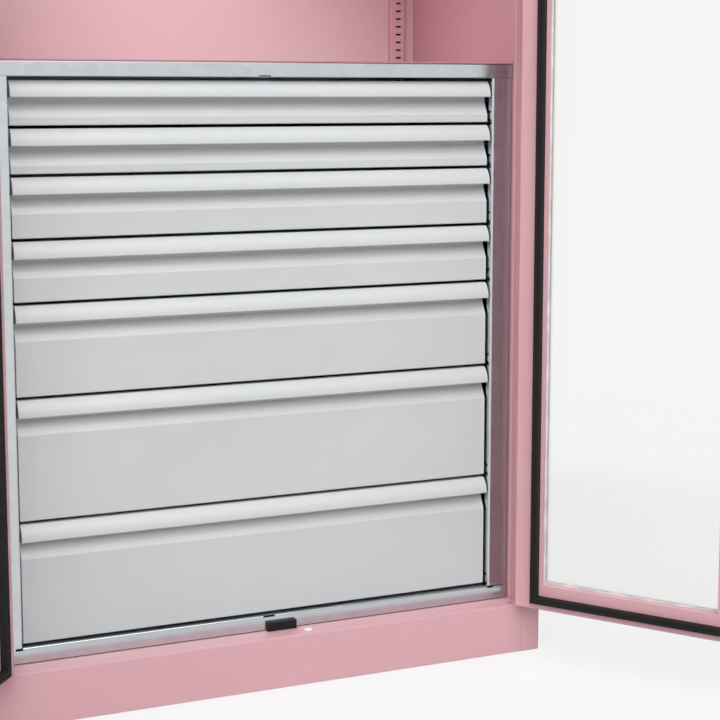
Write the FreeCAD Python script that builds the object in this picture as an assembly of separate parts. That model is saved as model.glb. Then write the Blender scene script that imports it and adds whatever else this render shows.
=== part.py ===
"""Two-door steel tool cabinet with a built-in housing of seven drawers.

The frame stands on the floor plane: +Z is up, +X is to the right and -Y is the front.
The origin is on the floor, in the middle of the width, below the front plane of the drawer
housing. All lengths are millimetres.
"""
import FreeCAD, Part
import math
import os

Vector = FreeCAD.Vector

# ---------------------------------------------------------------- modelling margins
overcut = 1.0                # reach of a cutting solid past the surface that it opens
tolerance = 1e-6             # for picking edges by their place

# ---------------------------------------------------------------- driving dimensions
# carcass
carcass_width = 1000.0
carcass_depth = 480.0
carcass_height = 1950.0
plinth_height = 88.0
carcass_sheet = 1.0
bend_radius = 0.8            # inner radius of a sheet fold
corner_radius = 6.5          # rounded outer edge of each front column
column_width = 38.0          # front face of a column
side_wall_width = 45.0       # outer skin to the face of the liner
rabbet_depth = 33.0          # front plane to the door lip
back_inset = 25.0            # rear edge to the face of the back panel
lintel_height = 40.0
lip_height = 7.0             # door lip of the lintel
foot_depth = 60.0            # flange of the plinth that rests on the floor
return_length = 15.0         # hidden return flanges
panel_seam = 0.5             # visible seam between the plinth front and a column

# slotted uprights on the back panel
upright_width = 30.9
upright_inset = 39.0         # middle of the upright to the liner
upright_proud = 11.0
upright_sheet = 1.5
slot_width = 10.5
slot_height = 3.5
slot_pitch = 15.0
slot_side_offset = 1.4       # slots sit off the middle of the upright
first_slot_height = 12.5     # above the floor plate
upright_top_gap = 20.0

# shelves
shelf_height = 25.0
shelf_sheet = 1.0
shelf_side_gap = 3.0
shelf_front_setback = 20.0   # behind the front plane of the housing
shelf_rear_gap = 2.0
shelf_slots = (80, 99)       # which slot carries the upper tab of each pair of arms
arm_sheet = 1.5
arm_width = 26.0
arm_root_height = 55.0
arm_tip_height = 18.0
arm_tip_setback = 15.0
arm_tab_pitches = 2
arm_tab_clearance = 0.5
arm_tab_depth = 6.0

# drawer housing
housing_setback = 41.0       # front plane of the carcass to the front plane of the housing
housing_side_gap = 2.5
housing_depth = 400.0
housing_profile_width = 38.0
housing_profile_depth = 14.0  # front profile, before the side wall steps outwards
housing_wall_step = 12.0
housing_fold_radius = 3.0    # inner radius of the profile's front fold
housing_sheet = 1.0
housing_return = 25.0
hook_hole_heights = (3.0, 18.0)  # above the lower edge of each drawer front
hook_hole_size = 4.0
hook_hole_setback = 4.0
rail_flange = 40.0
bottom_rail_height = 26.5
top_rail_height = 24.5
rail_bend_radius = 1.2
notch_width = 20.0
notch_height = 3.0
notch_depth = 4.0
foot_slot_height = 4.0
cover_thickness = 2.0
cover_edge_radius = 0.9
cover_gap = 0.5

# drawers, from the top one down
drawer_pitches = (75.0, 75.0, 100.0, 100.0, 150.0, 200.0, 200.0)
drawer_gap = 5.0             # between one front and the next
drawer_bottom_gap = 2.5      # lowest front above the bottom rail
drawer_top_gap = 5.5         # top front below the top rail
front_side_gap = 3.0
front_sheet = 1.2
front_panel_setback = 12.0   # flat panel behind the grip bar's foremost line
bar_height = 26.5
bar_radius = 30.0
bar_lip_radius = 1.4         # fold under the grip bar
bar_crest = 10.0            # where the tangents of the grip's arc meet, below its top
bar_slope_run = 13.33       # top fold behind the grip's foremost line
recess_depth = 24.0          # finger recess behind the grip's foremost line
recess_flat = 6.5
recess_top_drop = 1.0
recess_height = 23.0         # sloped part of the recess
slope_radius = 4.0           # fold between the slope and the flat panel
box_sheet = 1.0
box_bottom_gap = 4.0         # box bottom above the front's lower edge
box_top_gap = 8.0            # box rim below the front's top edge
box_rear_gap = 8.0

# drawer slides
slide_width = 13.0
slide_sheet = 1.4
slide_half_height = 15.5
slide_clearance = 0.5
slide_flange = 9.0
slide_web_gap = 0.6
slide_height = 22.0          # slide axis above the front's lower edge
slide_front_gap = 2.0        # slide end behind the drawer front
slide_rear_gap = 6.0

# doors
door_thickness = 28.0
door_sheet = 1.0
door_edge_radius = 1.5
door_bottom_gap = 5.0
door_top_gap = 5.0
door_middle_gap = 2.0
door_side_gap = 1.0
door_open_angle = 127.0      # how far the doors stand open at rest
hinge_stile = 49.0
lock_stile = 95.0
door_rail = 45.0
pane_thickness = 4.0
pane_recess = 13.0           # pane behind the inner face of the door
pane_edge_cover = 2.5
gasket_lip = 2.0
gasket_wall = 1.0
seal_width = 12.5
seal_hinge_inset = 33.0
seal_inset = 13.0
seal_end_gap = 0.5           # between the seal and the housing when the door is closed

# hinges
hinge_end_inset = 97.0       # first and last hinge to the ends of the door
knuckle_radius = 4.5
knuckle_length = 29.7
knuckle_gap = 0.6
knuckle_notch_gap = 0.6
hinge_pin_radius = 2.5
hinge_pin_end_gap = 2.0
running_clearance = 0.05
pivot_proud = 0.5            # hinge axis in front of the front plane

# lock
rod_radius = 4.0
rod_setback = 19.7           # rod axis behind the outer face of the door
rod_x = 62.5                 # lower rod, from the middle of the cabinet
rod_hole_gap = 0.35
rod_tip_inset = 0.5
cam_radius = 16.0
cam_thickness = 3.0
cam_pin_circle = 12.0
cam_pin_radius = 2.0
cam_gap = 3.0                # between the cam and the rods
block_height = 12.0
block_width = 14.5
block_slot_clearance = 0.8
rod_side_offset = 10.0       # rod axis beside the handle's axis
handle_height = 1000.0
handle_turn = 90.0
rosette_radius = 24.0
rosette_thickness = 6.0
spindle_radius = 4.5
hub_radius = 12.0
hub_length = 24.0
hub_gap = 0.5
grip_length = 96.0
grip_width = 22.0
grip_thickness = 13.0
grip_end_flat = 1.0
meeting_strip_overlap = 9.0
meeting_strip_sheet = 1.5
meeting_strip_gap = 0.4
meeting_strip_foot = 7.0

# small parts
keeper_flange_radius = 7.0
keeper_flange_thickness = 0.6
keeper_body_radius = 6.0
keeper_wall = 1.4
keeper_depth = 14.0
keeper_end_wall = 1.5
ledge_hole_radius = 3.2
ledge_hole_inset = 15.3      # from the front column
ledge_hole_setback = 14.0
pad_width = 52.0
pad_left = -4.8
pad_height = 14.8
pad_thickness = 8.0
pad_edge_radius = 1.0
pad_floor_gap = 0.3
anchor_radius = 4.5
anchor_spacing = 700.0
anchor_drop = 120.0

# ---------------------------------------------------------------- derived places
half_width = carcass_width / 2
y_front = -housing_setback
y_rear = y_front + carcass_depth
y_lip = y_front + rabbet_depth
y_housing = y_front + housing_setback
y_housing_rear = y_housing + housing_depth
y_back = y_rear - back_inset
y_upright = y_back - upright_proud

x_column = half_width - column_width
x_liner = half_width - side_wall_width
x_housing = x_liner - housing_side_gap
x_profile = x_housing - housing_profile_width
upright_centre = x_liner - upright_inset
ledge_hole_x = x_column - ledge_hole_inset
x_wall = x_profile + housing_wall_step
x_drawer_front = x_profile - front_side_gap
x_drawer_box = x_profile - slide_width
x_base = x_column - panel_seam

z_walls = carcass_height - carcass_sheet
z_lintel = carcass_height - lintel_height
z_side_bottom = plinth_height + bottom_rail_height
z_drawers_bottom = z_side_bottom + drawer_bottom_gap
z_drawers_top = z_drawers_bottom + sum(drawer_pitches) - drawer_gap
z_side_top = z_drawers_top + drawer_top_gap
z_housing_top = z_side_top + top_rail_height
z_cover_top = z_housing_top + cover_thickness

outer_bend = bend_radius + carcass_sheet
z_door_bottom = plinth_height + door_bottom_gap
z_door_top = z_lintel - door_top_gap
x_door_edge = x_column - door_side_gap
x_door_middle = door_middle_gap / 2
y_door_inner = y_front + door_thickness
x_pivot = (x_column + x_door_edge) / 2
y_pivot = y_front - pivot_proud

hinge_height = 2 * knuckle_length + knuckle_gap
z_first_hinge = z_door_bottom + hinge_end_inset
z_last_hinge = z_door_top - hinge_end_inset - hinge_height
hinge_heights = (z_first_hinge, (z_first_hinge + z_last_hinge) / 2, z_last_hinge)

x_handle = rod_x - rod_side_offset
y_rod = y_front + rod_setback
pin_lift = cam_pin_circle * math.sin(math.radians(handle_turn / 2))
rod_travel = 2 * pin_lift


# ---------------------------------------------------------------- geometry helpers
def box(x0, x1, y0, y1, z0, z1):
    """A box between two opposite corners."""
    return Part.makeBox(x1 - x0, y1 - y0, z1 - z0, Vector(x0, y0, z0))


def cylinder(x, y, z0, z1, radius):
    """An upright cylinder."""
    return Part.makeCylinder(radius, z1 - z0, Vector(x, y, z0), Vector(0, 0, 1))


def cylinder_y(x, z, y0, y1, radius):
    """A cylinder along Y."""
    return Part.makeCylinder(radius, y1 - y0, Vector(x, y0, z), Vector(0, 1, 0))


def mirrored(shape):
    """The same piece on the left side of the cabinet."""
    return shape.mirror(Vector(0, 0, 0), Vector(1, 0, 0))


def group(shapes):
    """Separate solids that share one node."""
    return Part.makeCompound(list(shapes))


def place_xy(u, v):
    return Vector(u, v, 0)


def place_yz(u, v):
    return Vector(0, u, v)


def direction(start, end):
    """Unit step from one corner to the next."""
    du = end[0] - start[0]
    dv = end[1] - start[1]
    length = math.hypot(du, dv)
    return (du / length, dv / length)


def shifted_side(points, radii, offset, place):
    """Edges of one side of a folded sheet, offset to the left of its corner line."""
    steps = [direction(points[i], points[i + 1]) for i in range(len(points) - 1)]
    here = (points[0][0] - steps[0][1] * offset, points[0][1] + steps[0][0] * offset)
    edges = []
    for corner, radius, a, b in zip(points[1:-1], radii, steps[:-1], steps[1:]):
        cross = a[0] * b[1] - a[1] * b[0]
        dot = a[0] * b[0] + a[1] * b[1]
        side = math.copysign(1.0, cross)
        share = offset / (1 + dot)
        mitre = (corner[0] - (a[1] + b[1]) * share, corner[1] + (a[0] + b[0]) * share)
        bend = radius - side * offset
        reach = bend * math.tan(abs(math.atan2(cross, dot)) / 2)
        start = (mitre[0] - a[0] * reach, mitre[1] - a[1] * reach)
        end = (mitre[0] + b[0] * reach, mitre[1] + b[1] * reach)
        centre = (start[0] - side * a[1] * bend, start[1] + side * a[0] * bend)
        spoke = direction(centre, mitre)
        middle = (centre[0] + spoke[0] * bend, centre[1] + spoke[1] * bend)
        edges.append(Part.LineSegment(place(*here), place(*start)).toShape())
        edges.append(Part.Arc(place(*start), place(*middle), place(*end)).toShape())
        here = end
    last = (points[-1][0] - steps[-1][1] * offset, points[-1][1] + steps[-1][0] * offset)
    edges.append(Part.LineSegment(place(*here), place(*last)).toShape())
    return edges


def section(points, radii, thickness, place):
    """Cross-section of a folded sheet whose material lies left of the corner line.

    points are the corners of the visible side and radii are the visible bend radii.
    """
    near = shifted_side(points, radii, 0.0, place)
    far = shifted_side(points, radii, thickness, place)
    start_cap = Part.LineSegment(far[0].Vertexes[0].Point, near[0].Vertexes[0].Point).toShape()
    end_cap = Part.LineSegment(near[-1].Vertexes[-1].Point, far[-1].Vertexes[-1].Point).toShape()
    outline = Part.Wire(Part.__sortEdges__(near + [end_cap] + far + [start_cap]))
    return Part.Face(outline)


def bent_upright(points, radii, thickness, z0, z1):
    """A sheet folded about upright lines, from z0 to z1."""
    solid = section(points, radii, thickness, place_xy).extrude(Vector(0, 0, z1 - z0))
    solid.translate(Vector(0, 0, z0))
    return solid


def bent_across(points, radii, thickness, x0, x1):
    """A sheet folded about lines along X, from x0 to x1."""
    solid = section(points, radii, thickness, place_yz).extrude(Vector(x1 - x0, 0, 0))
    solid.translate(Vector(x0, 0, 0))
    return solid


def channel(x_web, x_tip, half_height, sheet, y0, y1, z):
    """A U channel along Y whose web is at x_web and whose flanges reach to x_tip."""
    step = math.copysign(1.0, x_tip - x_web)
    outer = box(min(x_web, x_tip), max(x_web, x_tip), y0, y1, z - half_height, z + half_height)
    x_inner = x_web + step * sheet
    x_open = x_tip + step
    hollow = box(min(x_inner, x_open), max(x_inner, x_open), y0 - overcut, y1 + overcut,
                 z - half_height + sheet, z + half_height - sheet)
    return outer.cut(hollow)


def save(name, shape):
    """Write one sub-part."""
    shape.exportStep("parts/" + name + ".step")
    print(name, len(shape.Solids), round(shape.Volume), shape.isValid())


# ---------------------------------------------------------------- carcass
def hinge_cuts(fixed_radius, moving_radius):
    """Cylinders around the hinge axis that clear the fixed and the moving knuckles."""
    cuts = []
    for z in hinge_heights:
        top = z + knuckle_length
        upper = top + knuckle_gap
        middle = (top + upper) / 2
        cuts.append(cylinder(x_pivot, y_pivot, z - knuckle_notch_gap, middle, fixed_radius))
        cuts.append(cylinder(x_pivot, y_pivot, middle, upper + knuckle_length + knuckle_notch_gap,
                             moving_radius))
    return group(cuts)


def side_wall():
    """Outer skin, rounded front column, door reveal and lip of the right wall in one sheet."""
    points = [(x_liner, y_housing), (x_liner, y_lip), (x_column, y_lip), (x_column, y_front),
              (half_width, y_front), (half_width, y_rear), (x_liner, y_rear)]
    radii = [outer_bend, bend_radius, outer_bend, corner_radius, outer_bend]
    wall = bent_upright(points, radii, carcass_sheet, 0.0, z_walls)
    return wall.cut(hinge_cuts(knuckle_radius, knuckle_radius + knuckle_notch_gap))


def side_liner():
    """Inner sheet of the right wall, flanged against the rear edge of the wall."""
    y_end = y_rear - carcass_sheet
    points = [(x_liner + return_length, y_end), (x_liner, y_end), (x_liner, y_housing)]
    return bent_upright(points, [outer_bend], carcass_sheet, 0.0, z_walls)


def back_panel():
    """Back sheet between the liners, with flanges to the rear and two wall-anchor holes."""
    y_flange = y_back + return_length
    points = [(-x_liner, y_flange), (-x_liner, y_back), (x_liner, y_back), (x_liner, y_flange)]
    panel = bent_upright(points, [outer_bend, outer_bend], carcass_sheet, 0.0, z_walls)
    for side in (-1, 1):
        x = side * anchor_spacing / 2
        z = carcass_height - anchor_drop
        panel = panel.cut(cylinder_y(x, z, y_back - overcut, y_back + carcass_sheet + overcut, anchor_radius))
    return panel


def corner_relief(z0, z1):
    """Boxes behind the door lips, where a part between the columns narrows to the liners."""
    cuts = [box(x_liner, half_width, y_lip - panel_seam, y_rear, z0, z1)]
    cuts.append(mirrored(cuts[0]))
    return group(cuts)


def base_panel():
    """Plinth front, ledge and floor plate in one sheet, with flanges along the liners."""
    points = [(y_back, plinth_height - return_length), (y_back, plinth_height),
              (y_front, plinth_height), (y_front, 0.0), (y_front + foot_depth, 0.0)]
    panel = bent_across(points, [outer_bend] * 3, carcass_sheet, -x_base, x_base)
    panel = panel.cut(corner_relief(-overcut, plinth_height + overcut))
    flange = box(x_liner - carcass_sheet, x_liner, y_lip, y_back,
                 plinth_height - return_length, plinth_height - carcass_sheet / 2)
    panel = panel.fuse([flange, mirrored(flange)])
    z0 = plinth_height - 2 * carcass_sheet
    z1 = plinth_height + overcut
    holes = [cylinder(rod_x, y_rod, z0, z1, keeper_body_radius)]
    for side in (-1, 1):
        holes.append(cylinder(side * ledge_hole_x, y_front + ledge_hole_setback, z0, z1,
                              ledge_hole_radius))
    return panel.cut(group(holes)).removeSplitter()


def top_panel():
    """Roof sheet over the walls with the lintel, its door reveal and its door lip."""
    roof = box(-half_width, half_width, y_front, y_rear, z_walls, carcass_height)
    corners = [edge for edge in roof.Edges
               if abs(edge.Length - carcass_sheet) < tolerance
               and abs(edge.CenterOfMass.y - y_front) < tolerance]
    roof = roof.makeFillet(corner_radius, corners)
    z_lip = z_lintel - lip_height
    points = [(y_front, z_walls), (y_front, z_lintel), (y_lip, z_lintel), (y_lip, z_lip),
              (y_lip + return_length, z_lip)]
    lintel = bent_across(points, [outer_bend, bend_radius, outer_bend], carcass_sheet,
                         -x_base, x_base)
    lintel = lintel.cut(corner_relief(z_lip - overcut, z_lintel + outer_bend + overcut))
    hole = cylinder(x_handle - rod_side_offset, y_rod, z_lintel - overcut, z_lintel + 2 * carcass_sheet,
                    keeper_body_radius)
    return roof.fuse(lintel).cut(hole).removeSplitter()


def upright():
    """Slotted channel on the back panel that carries the shelf arms."""
    x0 = upright_centre - upright_width / 2
    x1 = upright_centre + upright_width / 2
    z0 = plinth_height
    z1 = z_walls - upright_top_gap
    points = [(x0, y_back), (x0, y_upright), (x1, y_upright), (x1, y_back)]
    bend = bend_radius + upright_sheet
    strip = bent_upright(points, [bend, bend], upright_sheet, z0, z1)
    x_slot = upright_centre + slot_side_offset
    slots = []
    z = plinth_height + first_slot_height
    while z + slot_height < z1:
        slots.append(box(x_slot - slot_width / 2, x_slot + slot_width / 2,
                         y_upright - overcut, y_upright + upright_sheet + overcut,
                         z - slot_height / 2, z + slot_height / 2))
        z += slot_pitch
    return strip.cut(group(slots))


# ---------------------------------------------------------------- shelves
def slot_z(number):
    """Height of the middle of a slot."""
    return plinth_height + first_slot_height + number * slot_pitch


def shelf_underside(number):
    """Height of the underside of the shelf whose arms hang from that slot."""
    tab_drop = (arm_root_height - arm_tab_pitches * slot_pitch) / 2
    return slot_z(number) + tab_drop


def shelf(number):
    """Shelf sheet with folded front and rear edges."""
    z0 = shelf_underside(number)
    z1 = z0 + shelf_height
    y0 = y_housing + shelf_front_setback
    y1 = y_upright - shelf_rear_gap
    points = [(y1 - return_length, z0), (y1, z0), (y1, z1), (y0, z1), (y0, z0),
              (y0 + return_length, z0)]
    bend = bend_radius + shelf_sheet
    x1 = x_liner - shelf_side_gap
    return bent_across(points, [bend] * 4, shelf_sheet, -x1, x1)


def shelf_arm(number):
    """Tapered arm of inverted U section, hung from two slots of the right upright."""
    z_top = shelf_underside(number)
    x_slot = upright_centre + slot_side_offset
    x0 = x_slot - arm_width / 2
    y_tip = y_housing + shelf_front_setback + arm_tip_setback
    side = [(y_upright, z_top), (y_upright, z_top - arm_root_height),
            (y_tip, z_top - arm_tip_height), (y_tip, z_top), (y_upright, z_top)]
    outline = Part.makePolygon([Vector(x0, y, z) for y, z in side])
    arm = Part.Face(outline).extrude(Vector(arm_width, 0, 0))
    arm = arm.cut(box(x0 + arm_sheet, x0 + arm_width - arm_sheet, y_tip - overcut,
                      y_upright - arm_sheet, z_top - 2 * arm_root_height, z_top - arm_sheet))
    tabs = []
    half_width_of_tab = slot_width / 2 - arm_tab_clearance
    half_height_of_tab = slot_height / 2 - arm_tab_clearance
    for step in (0, arm_tab_pitches):
        z = slot_z(number) - step * slot_pitch
        tabs.append(box(x_slot - half_width_of_tab, x_slot + half_width_of_tab,
                        y_upright - arm_sheet, y_upright + arm_tab_depth,
                        z - half_height_of_tab, z + half_height_of_tab))
    return arm.fuse(tabs)


# ---------------------------------------------------------------- drawer housing
def drawer_places():
    """Lower and upper edge of each drawer front, from the top one down."""
    places = []
    z1 = z_drawers_top
    for pitch in drawer_pitches:
        places.append((z1 - pitch + drawer_gap, z1))
        z1 -= pitch
    return places


def housing_side():
    """Right side of the housing: front profile, stepped wall and rear return in one sheet."""
    y_step = y_housing + housing_profile_depth
    points = [(x_housing, y_housing_rear), (x_wall, y_housing_rear), (x_wall, y_step),
              (x_profile, y_step), (x_profile, y_housing), (x_housing, y_housing),
              (x_housing, y_housing + housing_return)]
    bend = bend_radius + housing_sheet
    radii = [bend, bend_radius, bend, housing_fold_radius + housing_sheet, bend]
    side = bent_upright(points, radii, housing_sheet, z_side_bottom, z_side_top)
    holes = []
    for z_low, z_high in drawer_places():
        for height in hook_hole_heights:
            z = z_low + height
            holes.append(box(x_profile - overcut, x_profile + housing_sheet + bend_radius,
                             y_housing + hook_hole_setback, y_step + overcut,
                             z - hook_hole_size / 2, z + hook_hole_size / 2))
    return side.cut(group(holes))


def housing_rail(z0, z1):
    """Cross rail of U section whose face is the housing's front plane."""
    y1 = y_housing + rail_flange
    points = [(y1, z1), (y_housing, z1), (y_housing, z0), (y1, z0)]
    bend = rail_bend_radius + housing_sheet
    return bent_across(points, [bend, bend], housing_sheet, -x_housing, x_housing)


def centre_notch(z0, z1):
    """Notch in the middle of a rail's fold."""
    half = notch_width / 2
    return box(-half, half, y_housing - overcut, y_housing + notch_depth, z0, z1)


def bottom_rail():
    """Lower front rail with its centre notch and a slot under each side profile."""
    rail = housing_rail(plinth_height, z_side_bottom)
    cuts = [centre_notch(z_side_bottom - notch_height, z_side_bottom + overcut)]
    for side in (-1, 1):
        x0 = min(side * x_profile, side * x_wall)
        cuts.append(box(x0, x0 + housing_wall_step, y_housing - overcut, y_housing + notch_depth,
                        z_side_bottom - foot_slot_height, z_side_bottom + overcut))
    return rail.cut(group(cuts))


def top_rail():
    """Upper front rail with its centre notch."""
    rail = housing_rail(z_side_top, z_housing_top)
    return rail.cut(centre_notch(z_side_top - overcut, z_side_top + notch_height))


def rear_rails():
    """The two rear rails, facing backwards."""
    middle = Vector(0, (y_housing + y_housing_rear) / 2, 0)
    lower = housing_rail(plinth_height, z_side_bottom)
    upper = housing_rail(z_side_top, z_housing_top)
    return group([rail.mirror(middle, Vector(0, 1, 0)) for rail in (lower, upper)])


def housing_cover():
    """Cover plate over the housing, notched around the uprights."""
    x1 = x_liner - cover_gap
    y0 = y_housing + housing_sheet
    plate = box(-x1, x1, y0, y_back - cover_gap, z_housing_top, z_cover_top)
    front = [edge for edge in plate.Edges
             if abs(edge.CenterOfMass.y - y0) < tolerance
             and abs(edge.CenterOfMass.z - z_cover_top) < tolerance]
    plate = plate.makeFillet(cover_edge_radius, front)
    half = upright_width / 2 + cover_gap
    notch = box(upright_centre - half, upright_centre + half, y_upright - cover_gap, y_rear,
                z_housing_top - overcut, z_cover_top + overcut)
    return plate.cut(group([notch, mirrored(notch)]))


def stop_pad():
    """Rubber buffer on the bottom rail for the doors."""
    z0 = plinth_height + pad_floor_gap
    pad = box(pad_left, pad_left + pad_width, y_housing - pad_thickness, y_housing,
              z0, z0 + pad_height)
    y_face = y_housing - pad_thickness
    rim = [edge for edge in pad.Edges if abs(edge.CenterOfMass.y - y_face) < tolerance]
    return pad.makeFillet(pad_edge_radius, rim)


# ---------------------------------------------------------------- drawers
def drawer_front(z0, z1):
    """Front sheet: top fold, rounded grip bar, finger recess, flat panel and bottom fold."""
    y_back_face = y_housing + recess_depth + front_sheet
    y_recess = y_housing + recess_depth
    y_panel = y_housing + front_panel_setback
    z_recess = z1 - bar_height - recess_top_drop
    bend = bend_radius + front_sheet
    points = [(y_back_face, z1), (y_housing + bar_slope_run, z1), (y_housing, z1 - bar_crest),
              (y_housing, z1 - bar_height), (y_recess, z_recess),
              (y_recess, z_recess - recess_flat),
              (y_panel, z_recess - recess_flat - recess_height), (y_panel, z0),
              (y_back_face, z0)]
    radii = [bend, bar_radius, bar_lip_radius, bend_radius, bend_radius, slope_radius, bend]
    sheet = bent_across(points, radii, front_sheet, -x_drawer_front, x_drawer_front)
    rim = shifted_side(points, radii, 0.0, place_yz)
    back = Part.LineSegment(rim[-1].Vertexes[-1].Point, rim[0].Vertexes[0].Point).toShape()
    end_face = Part.Face(Part.Wire(Part.__sortEdges__(rim + [back])))
    end = end_face.extrude(Vector(front_sheet, 0, 0))
    end.translate(Vector(-x_drawer_front, 0, 0))
    return sheet.fuse([end, mirrored(end)]).removeSplitter()


slide_y0 = y_housing + recess_depth + front_sheet + slide_front_gap
slide_y1 = y_housing_rear - slide_rear_gap
middle_half_height = slide_half_height - slide_sheet - slide_clearance
inner_half_height = middle_half_height - slide_sheet - slide_clearance


def fixed_slide(z):
    """Slide member on the wall of the housing, right side."""
    return channel(x_wall, x_profile - slide_flange, slide_half_height, slide_sheet,
                   slide_y0, slide_y1, z)


def middle_slide(z):
    """Middle slide member, right side."""
    x_web = x_profile - slide_sheet - slide_web_gap
    return channel(x_web, x_web - slide_flange + slide_clearance, middle_half_height, slide_sheet,
                   slide_y0, slide_y1, z)


def drawer_slide(z):
    """Slide member on the drawer's side wall, right side."""
    x_web = x_drawer_box
    x_tip = x_profile - 2 * (slide_sheet + slide_web_gap)
    return channel(x_web, x_tip, inner_half_height, slide_sheet, slide_y0, slide_y1, z)


def drawer_box(z0, z1):
    """Open tray behind the front, with a slide member folded onto each side."""
    y0 = y_housing + recess_depth + front_sheet
    y1 = y_housing_rear - box_rear_gap
    bottom = z0 + box_bottom_gap
    rim = z1 - box_top_gap
    tray = box(-x_drawer_box, x_drawer_box, y0, y1, bottom, rim)
    hollow = box(-x_drawer_box + box_sheet, x_drawer_box - box_sheet,
                 y0 + box_sheet, y1 - box_sheet, bottom + box_sheet, rim + overcut)
    slide = drawer_slide(z0 + slide_height)
    return tray.cut(hollow).fuse([slide, mirrored(slide)])


# ---------------------------------------------------------------- doors, built closed
def window(grow):
    """The window opening of the right door, grown on every side, through the door."""
    return box(x_door_middle + lock_stile - grow, x_door_edge - hinge_stile + grow,
               y_front, y_door_inner,
               z_door_bottom + door_rail - grow, z_door_top - door_rail + grow)


def door_shell():
    """Hollow door with a window; its vertical edge is notched around the hinge knuckles."""
    outer = box(x_door_middle, x_door_edge, y_front, y_door_inner, z_door_bottom, z_door_top)
    outer = outer.makeFillet(door_edge_radius, outer.Edges)
    cavity = box(x_door_middle + door_sheet, x_door_edge - door_sheet,
                 y_front + door_sheet, y_door_inner - door_sheet,
                 z_door_bottom + door_sheet, z_door_top - door_sheet)
    shell = outer.cut(cavity).fuse(window(door_sheet)).cut(window(0.0))
    return shell.cut(hinge_cuts(knuckle_radius + knuckle_notch_gap, knuckle_radius))


def door_shell_with_lock():
    """The right door's shell, with holes for the locking rods and the spindle."""
    z_mid = handle_height
    rods = [cylinder(rod_x, y_rod, z_door_bottom - overcut, z_door_bottom + 2 * door_sheet,
                     rod_radius + rod_hole_gap),
            cylinder(x_handle - rod_side_offset, y_rod, z_door_top - 2 * door_sheet,
                     z_door_top + overcut, rod_radius + rod_hole_gap),
            cylinder_y(x_handle, z_mid, y_front - overcut, y_front + 2 * door_sheet,
                       spindle_radius + running_clearance)]
    return door_shell().cut(group(rods))


def pane_solid(y0, y1, inset):
    """A slab in the window, its edge inset from the opening."""
    return box(x_door_middle + lock_stile + inset, x_door_edge - hinge_stile - inset, y0, y1,
               z_door_bottom + door_rail + inset, z_door_top - door_rail - inset)


def pane():
    """The window pane."""
    y1 = y_door_inner - pane_recess
    return pane_solid(y1 - pane_thickness, y1, gasket_wall)


def gasket():
    """Rubber U section that holds the edge of the pane in the window opening."""
    y1 = y_door_inner - pane_recess + gasket_lip
    y0 = y1 - pane_thickness - 2 * gasket_lip
    ring = pane_solid(y0, y1, 0.0).cut(pane_solid(y0 - overcut, y1 + overcut, gasket_wall + pane_edge_cover))
    return ring.cut(pane())


def seal():
    """Rubber seal around the inner face of the door."""
    x0 = x_door_middle + seal_inset
    x1 = x_door_edge - seal_hinge_inset
    z0 = z_door_bottom + seal_inset
    z1 = z_door_top - seal_inset
    y1 = y_housing - seal_end_gap
    outer = box(x0, x1, y_door_inner, y1, z0, z1)
    inner = box(x0 + seal_width, x1 - seal_width, y_door_inner - overcut, y1 + overcut,
                z0 + seal_width, z1 - seal_width)
    return outer.cut(inner)


def knuckle(z0, bore):
    """One weld-on hinge knuckle."""
    z1 = z0 + knuckle_length
    barrel = cylinder(x_pivot, y_pivot, z0, z1, knuckle_radius)
    return barrel.cut(cylinder(x_pivot, y_pivot, z0 - overcut, z1 + overcut, bore))


def fixed_knuckles():
    """The carcass halves of the right door's hinges."""
    return [knuckle(z, hinge_pin_radius) for z in hinge_heights]


def moving_knuckles():
    """The door halves of the right door's hinges."""
    bore = hinge_pin_radius + running_clearance
    return [knuckle(z + knuckle_length + knuckle_gap, bore) for z in hinge_heights]


def hinge_pins():
    """The pins of the right door's hinges."""
    return [cylinder(x_pivot, y_pivot, z + hinge_pin_end_gap,
                     z + hinge_height - hinge_pin_end_gap, hinge_pin_radius)
            for z in hinge_heights]


def meeting_strip():
    """Strip on the right door that covers the gap to the left door."""
    y_foot = y_front - meeting_strip_gap
    y_face = y_foot - meeting_strip_sheet
    x0 = -meeting_strip_overlap
    x1 = x_door_middle + meeting_strip_foot + door_edge_radius
    z0 = z_door_bottom + door_edge_radius
    z1 = z_door_top - door_edge_radius
    strip = box(x0, x1, y_face, y_foot, z0, z1)
    foot = box(x_door_middle + door_edge_radius, x1, y_foot, y_front, z0, z1)
    return strip.fuse(foot).removeSplitter()


# ---------------------------------------------------------------- lock, built closed and unlocked
y_cam_back = y_rod - rod_radius - cam_gap
y_cam_front = y_cam_back - cam_thickness
y_hub_back = y_front - rosette_thickness - hub_gap


def rosette():
    """Round plate on the door's outer face around the spindle."""
    plate = cylinder_y(x_handle, handle_height, y_front - rosette_thickness, y_front,
                       rosette_radius)
    rim = [edge for edge in plate.Edges
           if abs(edge.CenterOfMass.y - y_front + rosette_thickness) < tolerance]
    plate = plate.makeFillet(rosette_thickness / 3, rim)
    bore = cylinder_y(x_handle, handle_height, y_front - 2 * rosette_thickness, y_front + overcut,
                      spindle_radius + running_clearance)
    return plate.cut(bore)


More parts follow.
